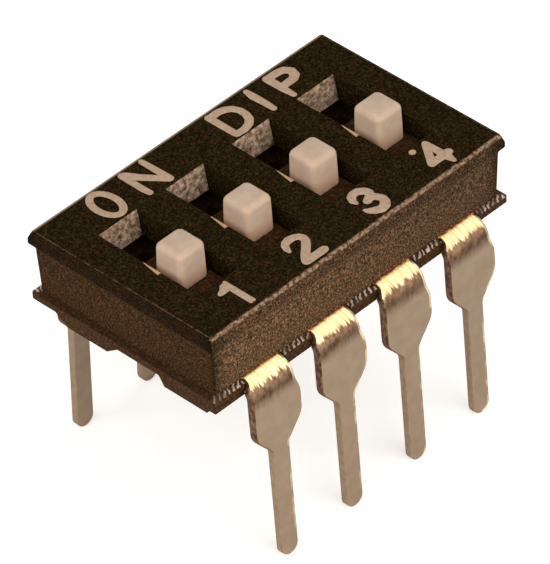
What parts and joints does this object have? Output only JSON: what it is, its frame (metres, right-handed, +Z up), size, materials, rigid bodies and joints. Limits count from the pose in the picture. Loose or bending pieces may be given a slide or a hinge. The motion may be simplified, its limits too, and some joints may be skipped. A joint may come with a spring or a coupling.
{
  "type": "dip switch",
  "caption": "Slide-type dual-in-line switch with white actuators in a slotted black cover, a flanged base and formed, shouldered through-hole leads.",
  "frame": {"origin": "middle of the lead pattern on the plane of the lead tips, which is the bottom centre of the bounding box", "axes": "+Z up through the knobs, +X along the body from position 1 to position 4, +Y towards the ON side"},
  "size_m": [0.0114, 0.0082, 0.0091],
  "materials": {
    "cover_plastic": "matte moulded black, fine texture",
    "base_plastic": "matte moulded black-brown",
    "actuator_plastic": "satin warm white",
    "carriage_plastic": "matte dark brown",
    "marking_paint": "filled pale marking",
    "contact_metal": "plated spring strip",
    "tinned_lead": "satin tin plate"
  },
  "bodies": {
    "housing": {"cover": "cover_plastic", "base": "base_plastic", "terminal_off_1": "tinned_lead", "terminal_off_2": "tinned_lead", "terminal_off_3": "tinned_lead", "terminal_off_4": "tinned_lead", "terminal_on_1": "tinned_lead", "terminal_on_2": "tinned_lead", "terminal_on_3": "tinned_lead", "terminal_on_4": "tinned_lead"},
    "actuator_1": {"slider_1": "actuator_plastic", "carriage_1": "carriage_plastic", "contact_spring_1": "contact_metal"},
    "actuator_2": {"slider_2": "actuator_plastic", "carriage_2": "carriage_plastic", "contact_spring_2": "contact_metal"},
    "actuator_3": {"slider_3": "actuator_plastic", "carriage_3": "carriage_plastic", "contact_spring_3": "contact_metal"},
    "actuator_4": {"slider_4": "actuator_plastic", "carriage_4": "carriage_plastic", "contact_spring_4": "contact_metal"}
  },
  "joints": [
    {"name": "slider_1_slide", "type": "slide", "parent": "housing", "child": "actuator_1", "axis": [0, 1, 0], "range_m": [0, 0.001]},
    {"name": "slider_2_slide", "type": "slide", "parent": "housing", "child": "actuator_2", "axis": [0, 1, 0], "range_m": [0, 0.001]},
    {"name": "slider_3_slide", "type": "slide", "parent": "housing", "child": "actuator_3", "axis": [0, 1, 0], "range_m": [0, 0.001]},
    {"name": "slider_4_slide", "type": "slide", "parent": "housing", "child": "actuator_4", "axis": [0, 1, 0], "range_m": [0, 0.001]}
  ]
}
